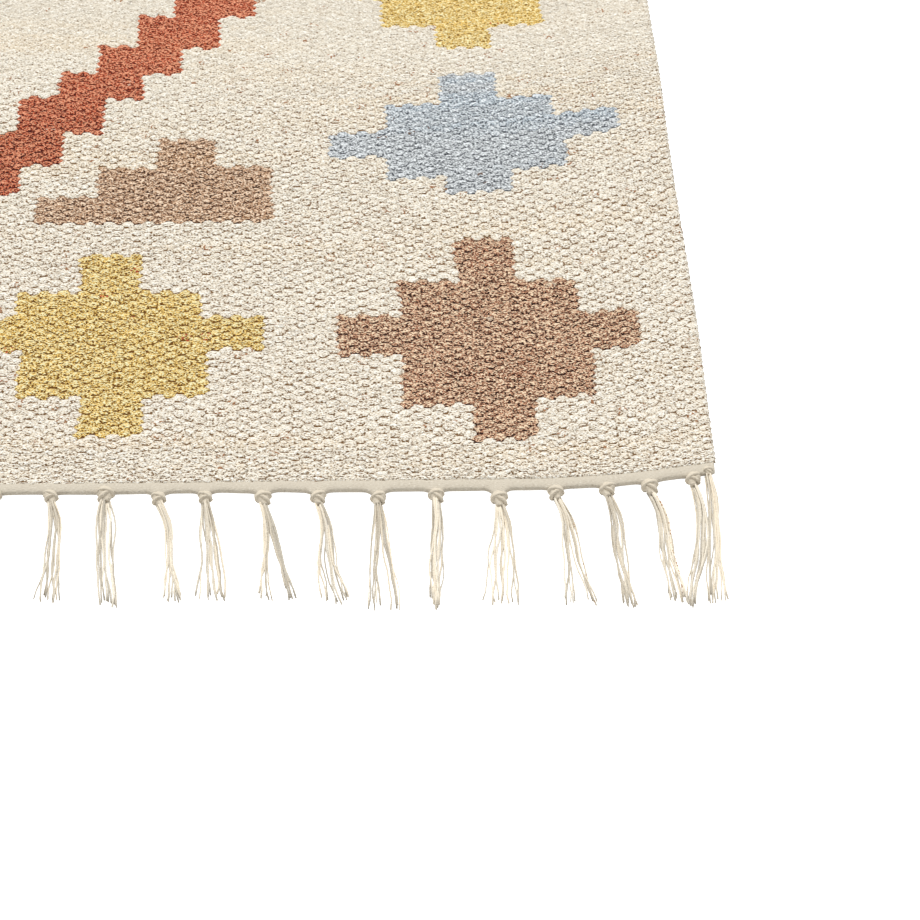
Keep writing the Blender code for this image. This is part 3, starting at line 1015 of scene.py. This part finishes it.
# %% [markdown]
# ## The heading
# Past the last pick the warps are wrapped into a smooth, slightly ribbed band that stops the wefts from
# sliding off. Its far edge is nearly straight, with a small shoulder at each knot. It is made as one closed
# section carried across the rug: a flattened ring whose near edge follows the weave and whose far edge
# follows the knots.

# %% Heading
HEADING_STEPS = 1100
HEADING_SIDES = 16
HEADING_DEPTH = 0.0070
HEADING_THICK = 0.0031
SHOULDER = 0.0038
KNOT_OVERLAP = 0.0026
RIB_PITCH = 0.0027
RIB_RISE = 0.00008
RIB_SLANT = 0.7
TUCK = 0.0012
SIDE_GAP = 0.0004
EDGE_WAVER = 0.0005
THICK_WAVER = 0.06
LEAST_STEP = 0.0008
FLOOR_GAP = 0.0001
NOISE_STEP = 0.01


def heading(end, rows):
    """Near edge: the weave's end, a little inside. Far edge: an even depth, plus a bell at each knot."""
    limit = selvage(1, LENGTH / 2) - SIDE_GAP
    x = np.linspace(-limit, limit, HEADING_STEPS)
    near = weave_end(end, x) - end * TUCK
    even = HEADING_DEPTH + EDGE_WAVER * soft_noise(x / NOISE_STEP, 0 * x, 1.5, 1)
    depth = even.copy()
    for place_x, drop in rows[:, :FIRST_SIDE]:
        bell = np.exp(-np.abs((x - place_x) / SHOULDER) ** 2.2)
        knot = max(drop - KNOT_OVERLAP, HEADING_DEPTH + LEAST_STEP)
        depth = np.maximum(depth, even + (knot - HEADING_DEPTH) * bell)
    far = weave_end(end, x) + end * depth
    angle = 2 * math.pi * np.arange(HEADING_SIDES) / HEADING_SIDES
    out = np.sign(np.cos(angle)) * np.abs(np.cos(angle)) ** 0.8
    up = np.sign(np.sin(angle)) * np.abs(np.sin(angle)) ** 0.7
    y = (near + far)[:, None] / 2 + (far - near)[:, None] / 2 * out
    thick = HEADING_THICK * (1 + THICK_WAVER * soft_noise(x / NOISE_STEP, 0 * x + 5, 1, 1))
    slope = x[:, None] + RIB_SLANT * end * (y - near[:, None])
    rib = RIB_RISE * np.sin(2 * math.pi * slope / RIB_PITCH) * np.clip(up, 0, 1)
    z = thick[:, None] * (1 + up) / 2 + FLOOR_GAP + rib
    points = np.stack([np.repeat(x[:, None], HEADING_SIDES, 1), y, z], -1)
    points = np.concatenate([points.reshape(-1, 3), points[0].mean(0)[None], points[-1].mean(0)[None]])
    faces = tube_faces(HEADING_STEPS, HEADING_SIDES)
    return points, (faces if end < 0 else faces[:, ::-1])


# %% [markdown]
# ## Knots
# Each tassel is tied with one overhand knot, close under the heading. Pulled tight, it shows as a lump that
# is wide above and narrow below: the bundle comes down from the heading, one turn of it slants across, and
# a second turn slants back below. The bundle and each turn are ridged tubes, because they are still five or
# six cords lying side by side.

# %% Knots
KNOT_BODY = (2.3, 3.1, 3.6, 3.7, 3.3, 2.8, 2.2, 1.8, 1.6)
KNOT_HALF = 0.0046
KNOT_FLAT = 0.66
KNOT_TURN = 0.0030
KNOT_CORD = 0.0012
KNOT_STATIONS = 20
KNOT_MIDDLE_Z = 0.0026
KNOT_LEAN = 0.22
KNOT_SAG = 0.0006
KNOT_ARCH = 0.0005
SMALL_FROM = 0.388
SMALL_SIZE = 0.62

# Each turn of a knot: its slant, its shift down the bundle and its share of the full size
KNOT_TURNS = ((0.50, -0.0011, 1.0), (-0.75, 0.0009, 0.86))


def knots(end, rows):
    """A bundle from the heading through each knot, and two slanting rings round it."""
    count = len(rows)
    across = rows[:, PLACE]
    along = weave_end(end, across) + end * rows[:, DROP]
    middle = np.stack([across, along, np.full(count, KNOT_MIDDLE_Z)], 1)
    size = RANDOM.uniform(0.9, 1.1, (count, 1))
    size = np.where(np.abs(across[:, None]) > SMALL_FROM, SMALL_SIZE, size)
    share = np.linspace(-1, 1, len(KNOT_BODY))[None, :]
    lean = (rows[:, FIRST_SIDE] + rows[:, FIRST_SIDE + 1])[:, None] / 2 * KNOT_LEAN
    sag = KNOT_SAG * RANDOM.uniform(-1, 1, (count, 1))
    bundle = np.stack([middle[:, :1] + np.clip(share, 0, 1) ** 2 * lean + sag * np.sin(3 * share),
                       middle[:, 1:2] + end * KNOT_HALF * share * size,
                       middle[:, 2:3] - KNOT_ARCH * share ** 2 + 0 * size], -1)
    girth = np.array(KNOT_BODY)[None, :] * MILLIMETRE * size
    points, faces = tubes(bundle, girth, 14, np.array([0.0, 0.0, 1.0]), ridges=0.10, lobes=5, twist=2.4)
    points[:, 2] = KNOT_MIDDLE_Z + (points[:, 2] - KNOT_MIDDLE_Z) * KNOT_FLAT
    parts = [(points, faces)]
    turn = np.linspace(0, 2 * math.pi, KNOT_STATIONS)[None, :]
    phase = RANDOM.uniform(-0.3, 0.3, (count, 1))
    hand = np.where(RANDOM.uniform(0, 1, (count, 1)) < 0.6, 1.0, -1.0)
    for slant, shift, part in KNOT_TURNS:
        reach = KNOT_TURN * part * size
        path = np.stack([
            middle[:, :1] + reach * np.cos(turn),
            middle[:, 1:2] + end * shift * size + (slant + phase) * hand * reach * np.cos(turn),
            middle[:, 2:3] + KNOT_FLAT * reach * np.sin(turn),
        ], -1)
        thick = np.repeat(KNOT_CORD * part * size, KNOT_STATIONS, 1)
        parts.append(tubes(path, thick, 8, np.array([0.0, 1.0, 0.0]), ridges=0.16, lobes=3, twist=3.0))
    points, faces = joined(parts)
    points[:, 2] = np.maximum(points[:, 2], FLOOR_GAP)
    return points, faces


# %% [markdown]
# ## Strands
# Below its knot a tassel is a loose bunch of about eleven cotton strands. They leave in a narrow bundle,
# spread within two centimetres, and then run on side by side in a few groups, waving a little, as cotton
# does that was once bent round wefts.

# %% Strands
STRANDS = 11
STRAND_GROUPS = 5
STRAND_STATIONS = 12
STRAND_SIDES = 5
STRAND_RADIUS = 0.00052
BENDS = (0.016, 0.045)
BUNDLE_HALF = 0.0015
BELOW_KNOT = 0.0022
TIP_SPREAD = 0.045

# At each of the table's three distances: how far a strand goes to its group's middle, and how far it strays
GROUPING = (0.0, 0.75, 0.5)
STRAY = (0.0003, 0.0003, 0.0009)

# Waves of a strand: turns along it, and size
WAVES = ((1.3, 0.0007), (3.1, 0.00035))

# Height of a strand above the floor by its layer: two parts, each with its lift and its reach
LIFTS = ((0.0022, 0.016), (0.0007, 0.05))


def strands(end, rows):
    """Across: three soft steps, from the knot to each place of the table in turn, rounded, plus two waves.

    Each strand keeps its place between the tassel's sides, near the middle of its group. Along: from the knot
    to the tip. Height: from the knot to the floor by a bell of the distance.
    """
    count = len(rows)
    shape = (count, STRANDS)
    x, drop, reach, parting = [rows[:, n][:, None] for n in (PLACE, DROP, REACH, PARTING)]
    order = (np.arange(STRANDS)[None, :] + 0.5) / STRANDS + RANDOM.uniform(-0.05, 0.05, shape)
    group = (np.floor(order * STRAND_GROUPS) + 0.5) / STRAND_GROUPS + RANDOM.uniform(-0.05, 0.05, shape)
    length = reach * (1 - np.abs(RANDOM.normal(0, TIP_SPREAD, shape)))
    u = np.linspace(0, 1, STRAND_STATIONS)[None, None, :]
    away = length[..., None] * u
    starts = (0.0, *BENDS)
    before = BUNDLE_HALF * (2 * order - 1)
    px = x[..., None] + before[..., None]
    for step, start in enumerate(starts):
        left, right = [rows[:, column][:, None] for column in (2 * step + 2, 2 * step + 3)]
        across = np.clip((1 - GROUPING[step]) * order + GROUPING[step] * group, 0, 1)
        if step > 0:
            across = np.where(across < 0.5, across * (1 - parting), 1 - (1 - across) * (1 - parting))
        after = left + (right - left) * across + RANDOM.normal(0, STRAY[step], shape)
        stop = length[..., None] if step == len(starts) - 1 else starts[step + 1]
        way = np.clip((away - start) / (stop - start), 0, 1)
        px = px + (after - before)[..., None] * (0.6 * way + 0.4 * way * way * (3 - 2 * way))
        before = after
    px[..., 1:-1] = 0.25 * px[..., :-2] + 0.5 * px[..., 1:-1] + 0.25 * px[..., 2:]
    for turns, size in WAVES:
        start = RANDOM.uniform(0, 2 * math.pi, shape)[..., None]
        pace = turns * RANDOM.uniform(0.7, 1.3, shape)[..., None]
        px = px + size * (np.sin(2 * math.pi * pace * u + start) - np.sin(start)) * u ** 0.7
    below = BELOW_KNOT + away * (1 - BELOW_KNOT / length[..., None])
    py = (weave_end(end, x) + end * drop)[..., None] + end * below
    layer = RANDOM.uniform(0, 1, shape)[..., None]
    (high, steep), (low, slow) = LIFTS
    pz = STRAND_RADIUS + high * layer * np.exp(-(away / steep) ** 1.5) + low * layer * np.exp(-away / slow)
    path = np.stack([px, py, pz], -1).reshape(-1, STRAND_STATIONS, 3)
    girth = STRAND_RADIUS * RANDOM.uniform(0.75, 1.25, (count * STRANDS, 1))
    girth = girth * np.linspace(1.05, 0.85, STRAND_STATIONS)[None]
    path[:, :, 2] = np.maximum(path[:, :, 2], girth + FLOOR_GAP / 2)
    return tubes(path, girth, STRAND_SIDES, np.array([0.0, 0.0, 1.0]))


# %% Fringe pieces
FRINGE_RISE = 0.7

# Tone, warmth and chance of the headings and the knots
HEADING_TONE = (-0.55, 0.3, 1.0)
KNOT_TONE = (-0.15, 0.5, 1.0)


def fringe_piece(name, made, node, tone):
    """A piece of warp cotton with its look attributes. tone has each face's tone, warmth and chance."""
    points, faces = made
    piece = new_piece(name, points, faces, [WARP_COTTON])
    add_values(piece, "rise", "POINT", np.full(len(points), FRINGE_RISE))
    add_values(piece, "side", "FACE", np.tile([NEAR_ELSEWHERE, 1.0, 0.0], (len(faces), 1)))
    add_values(piece, "lump", "FACE", tone)
    print(name, len(faces), "triangles,", loose_edges(faces), "loose edges")
    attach(piece, "root")
    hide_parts(node)
    return piece


def tone_of_tubes(faces_each, count):
    """Tone, warmth and chance, the same for all faces of a tube."""
    spans = ((-1, 1), (0, 0.6), (0, 1))
    look = np.stack([RANDOM.uniform(low, high, count) for low, high in spans], 1)
    return np.repeat(look, faces_each, axis=0)


for end, word in ((-1, "front"), (1, "back")):
    rows = tassel_rows(end)
    node = "fringe_" + word
    band = heading(end, rows)
    tied = knots(end, rows)
    loose = strands(end, rows)
    tubes_here = len(rows) * STRANDS
    fringe_piece("heading_" + word, band, node, np.tile(HEADING_TONE, (len(band[1]), 1)))
    fringe_piece("knots_" + word, tied, node, np.tile(KNOT_TONE, (len(tied[1]), 1)))
    fringe_piece("strands_" + word, loose, node, tone_of_tubes(len(loose[1]) // tubes_here, tubes_here))

# %% [markdown]
# ## The floor, and what rides and replaces
# The solids of the frame stay hidden under the finer pieces. The cloth lies on the floor as it was cut.

# %% Floor and what rides
FLOOR_HALF = 12.0
FLOOR_CORNERS = ((-1, -1), (1, -1), (1, 1), (-1, 1))
floor_mesh = bpy.data.meshes.new("floor")
floor_mesh.from_pydata([(FLOOR_HALF * x, FLOOR_HALF * y, 0) for x, y in FLOOR_CORNERS], [], [(0, 1, 2, 3)])
floor = bpy.data.objects.new("floor", floor_mesh)
bpy.context.scene.collection.objects.link(floor)
paper = bpy.data.materials.new("white_floor")
paper.use_nodes = True
shader = paper.node_tree.nodes["Principled BSDF"]
shader.inputs["Base Color"].default_value = (0.92, 0.92, 0.92, 1.0)
shader.inputs["Roughness"].default_value = 0.9
shader.inputs["Emission Color"].default_value = (1.0, 1.0, 1.0, 1.0)
seen_rays = paper.node_tree.nodes.new("ShaderNodeLightPath").outputs["Is Camera Ray"]
paper.node_tree.links.new(seen_rays, shader.inputs["Emission Strength"])
floor_mesh.materials.append(paper)

for number, piece in enumerate(CLOTH):
    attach(piece, "root")
    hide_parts("rug_cloth")

# %% [markdown]
# ## Light
# The picture is high key: the floor is pure white, and no shadow shows on it. So the floor glows for the
# camera alone, and lights nothing. One soft lamp behind the rug gives the lumps their darker near sides,
# and painted shade in the yarns' colour deepens them.

# %% Light
SKY_STRENGTH = 0.70
SUN_STRENGTH = 2.5
SUN_WIDTH = math.radians(30)
SUN_TURN = (math.radians(-34), math.radians(-10), 0.0)


def add_light():
    """An even white sky, and a sun with a wide disc, from behind and to the left."""
    world = bpy.data.worlds.new("studio")
    world.use_nodes = True
    sky = world.node_tree.nodes["Background"]
    sky.inputs["Color"].default_value = (1.0, 1.0, 1.0, 1.0)
    sky.inputs["Strength"].default_value = SKY_STRENGTH
    bpy.context.scene.world = world
    lamp = bpy.data.lights.new("soft_lamp", "SUN")
    lamp.energy = SUN_STRENGTH
    lamp.angle = SUN_WIDTH
    made = bpy.data.objects.new("soft_lamp", lamp)
    made.rotation_euler = SUN_TURN
    bpy.context.scene.collection.objects.link(made)
    bpy.context.scene.view_settings.view_transform = "Standard"


add_light()
